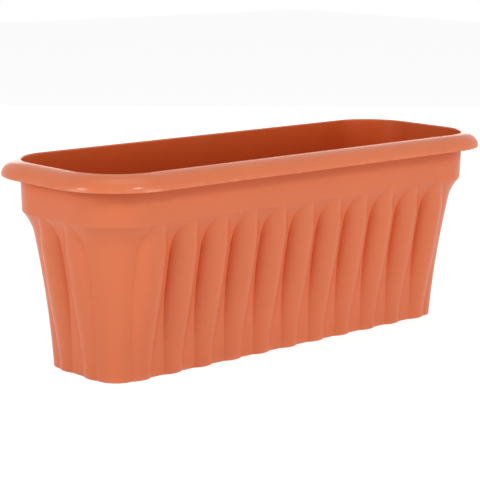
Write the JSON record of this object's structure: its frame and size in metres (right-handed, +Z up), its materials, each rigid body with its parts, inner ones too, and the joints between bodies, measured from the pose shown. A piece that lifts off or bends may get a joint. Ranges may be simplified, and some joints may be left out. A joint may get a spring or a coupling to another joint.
{
  "type": "window box planter",
  "caption": "Long window box planter with rolled rim, rounded corners, convex ribs down tapering walls and pull-out drain plugs.",
  "frame": {"origin": "middle of the foot ring, on the surface the planter stands on", "axes": "+X along the length, -Y towards the long side that faces the viewer, +Z up"},
  "size_m": [0.8, 0.292, 0.294],
  "materials": {
    "trough": "satin terracotta polypropylene",
    "plug": "matt black soft plastic"
  },
  "bodies": {
    "box": {"trough": "trough"},
    "plug_1": {"drain_plug_1": "plug"},
    "plug_2": {"drain_plug_2": "plug"},
    "plug_3": {"drain_plug_3": "plug"},
    "plug_4": {"drain_plug_4": "plug"}
  },
  "joints": [
    {"name": "plug_1_pull", "type": "slide", "parent": "box", "child": "plug_1", "axis": [0, 0, 1], "range_m": [0, 0.04]},
    {"name": "plug_2_pull", "type": "slide", "parent": "box", "child": "plug_2", "axis": [0, 0, 1], "range_m": [0, 0.04]},
    {"name": "plug_3_pull", "type": "slide", "parent": "box", "child": "plug_3", "axis": [0, 0, 1], "range_m": [0, 0.04]},
    {"name": "plug_4_pull", "type": "slide", "parent": "box", "child": "plug_4", "axis": [0, 0, 1], "range_m": [0, 0.04]}
  ]
}
